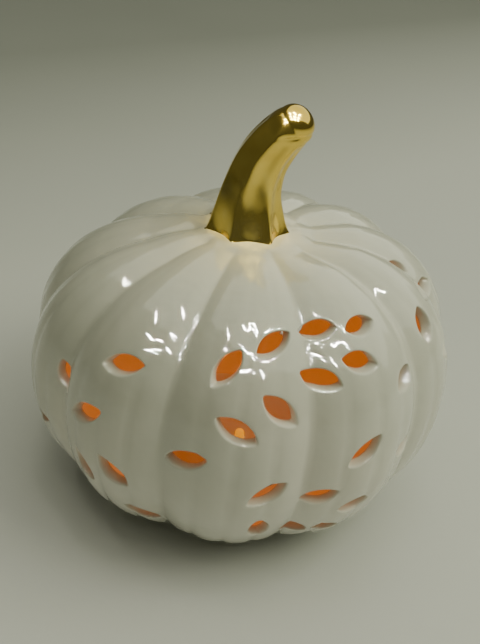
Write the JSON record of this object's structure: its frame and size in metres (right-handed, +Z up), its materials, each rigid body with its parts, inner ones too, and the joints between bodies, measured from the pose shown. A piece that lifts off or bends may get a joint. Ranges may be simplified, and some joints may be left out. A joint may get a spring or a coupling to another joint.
{
  "type": "ceramic pumpkin luminary",
  "caption": "White glazed ceramic pumpkin with leaf-shaped cut-outs, a gold stem and a pull-out LED light unit in its foot.",
  "frame": {"origin": "centre of the foot, on the surface that the foot pads rest on", "axes": "+Z up along the pumpkin's axis; -Y is the front; the tip of the stem leans towards +X"},
  "size_m": [0.2034, 0.2031, 0.1932],
  "materials": {
    "glazed_ceramic": "glossy off-white glaze",
    "gold": "polished gold lustre",
    "felt": "pressed felt",
    "black_plastic": "fine moulded texture",
    "white_plastic": "satin",
    "gasket": "matt soft rubber",
    "cell_wrap": "printed sleeve with no lettering",
    "contact_metal": "nickel-plated spring steel",
    "board": "solder mask",
    "amber_led": "clear tinted epoxy, lit",
    "chip": "moulded epoxy",
    "resistor": "lacquer with colour bands",
    "capacitor_sleeve": "shrunk sleeve",
    "red_insulation": "soft PVC",
    "black_insulation": "soft PVC",
    "white_insulation": "soft PVC"
  },
  "bodies": {
    "pumpkin": {"pumpkin_shell": "glazed_ceramic", "stem": "gold", "foot_pads": "felt"},
    "light_unit": {"light_base": "white_plastic", "light_cover": "white_plastic", "base_gasket": "gasket", "battery_1": "cell_wrap", "battery_2": "cell_wrap", "battery_3": "cell_wrap", "coil_springs": "contact_metal", "link_plates": "contact_metal", "plus_plate": "contact_metal", "minus_plate": "contact_metal", "circuit_board": "board", "board_screws": "contact_metal", "led_front": "amber_led", "led_right": "amber_led", "led_left": "amber_led", "control_chip": "chip", "resistors": "resistor", "capacitor": "capacitor_sleeve", "switch_body": "black_plastic", "housing_screws": "contact_metal", "red_wire": "red_insulation", "black_wire": "black_insulation", "switch_wires": "white_insulation"},
    "battery_door": {"battery_door": "white_plastic"},
    "switch_knob": {"switch_knob": "black_plastic"}
  },
  "joints": [
    {"name": "unit_pull", "type": "slide", "parent": "pumpkin", "child": "light_unit", "axis": [0, 0, -1], "range_m": [0, 0.06]},
    {"name": "door_hinge", "type": "hinge", "parent": "light_unit", "child": "battery_door", "pos_m": [0.0275, 0, 0.0018], "axis": [0, -1, 0], "range_deg": [0, 100]},
    {"name": "switch_slide", "type": "slide", "parent": "light_unit", "child": "switch_knob", "axis": [1, 0, 0], "range_m": [-0.0025, 0.0025]}
  ]
}
